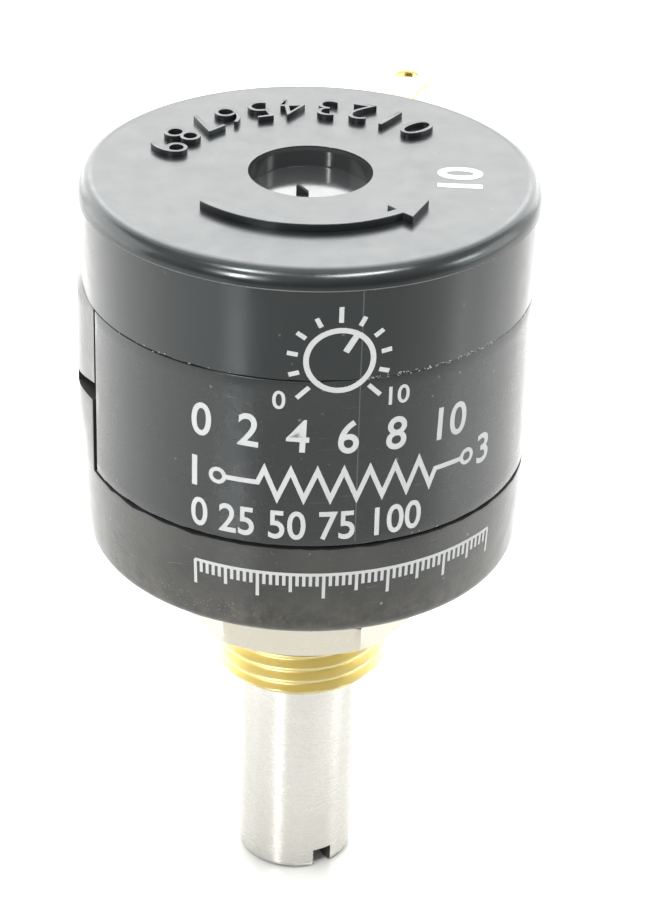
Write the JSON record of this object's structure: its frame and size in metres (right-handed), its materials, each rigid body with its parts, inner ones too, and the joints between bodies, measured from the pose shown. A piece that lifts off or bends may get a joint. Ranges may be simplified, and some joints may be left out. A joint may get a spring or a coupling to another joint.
{
  "type": "multi-turn potentiometer",
  "caption": "Round panel-mount wirewound potentiometer with a slotted shaft, threaded bushing, hex nut, black two-part case and side terminals.",
  "frame": {"origin": "centre of the panel mounting face, on the shaft's axis", "axes": "+Z along the shaft's axis towards the rear cover, -Y towards the printed side"},
  "size_m": [0.0224, 0.0274, 0.0399],
  "materials": {
    "front_plastic": "dusty moulded plastic",
    "sleeve_plastic": "matte moulded plastic",
    "cover_plastic": "satin moulded plastic",
    "bushing_brass": "turned thread",
    "plated_nickel": "nickel plate",
    "stainless": "ground",
    "spring_steel": "spring temper",
    "drum_plastic": "phenolic moulding",
    "nylon": "natural nylon",
    "contact_gold": "gold plate",
    "spring_bronze": "rolled strip",
    "coil_wire": "close-wound resistance wire"
  },
  "bodies": {
    "housing": {"front_housing": "front_plastic", "sleeve": "sleeve_plastic", "rear_cover": "cover_plastic", "bushing": "bushing_brass", "resistance_coil": "coil_wire", "front_end_clip": "spring_steel", "rear_end_clip": "spring_steel", "terminal_1": "contact_gold", "terminal_2": "contact_gold", "terminal_3": "contact_gold", "slip_ring_brush": "spring_bronze", "rear_bearing": "spring_bronze"},
    "rotor": {"shaft": "stainless", "thrust_washer": "nylon", "retaining_ring": "spring_steel", "rotor_drum": "drum_plastic", "guide_rod": "stainless", "collector_rod": "contact_gold", "slip_ring": "contact_gold"},
    "carriage": {"slider_carriage": "nylon", "wiper_shoe": "contact_gold", "collector_contact": "spring_bronze"},
    "washer": {"lock_washer": "plated_nickel"},
    "nut": {"mounting_nut": "plated_nickel"}
  },
  "joints": [
    {"name": "shaft_turn", "type": "hinge", "parent": "housing", "child": "rotor", "pos_m": [0, 0, 0], "axis": [0, 0, 1], "range_deg": [-1890, 1710]},
    {"name": "wiper_travel", "type": "slide", "parent": "rotor", "child": "carriage", "axis": [0, 0, 1], "range_m": [-0.00421, 0.00381]},
    {"name": "nut_travel", "type": "slide", "parent": "housing", "child": "washer", "axis": [0, 0, 1], "range_m": [-0.00303, 0.00196]},
    {"name": "nut_turn", "type": "hinge", "parent": "washer", "child": "nut", "pos_m": [0, 0, 0], "axis": [0, 0, 1], "range_deg": [-1455, 945]}
  ],
  "couplings": [
    {"joint": "wiper_travel", "follows": "shaft_turn", "m_per_rad": 0.00012732},
    {"joint": "nut_turn", "follows": "nut_travel", "rad_per_m": 8377.6}
  ]
}
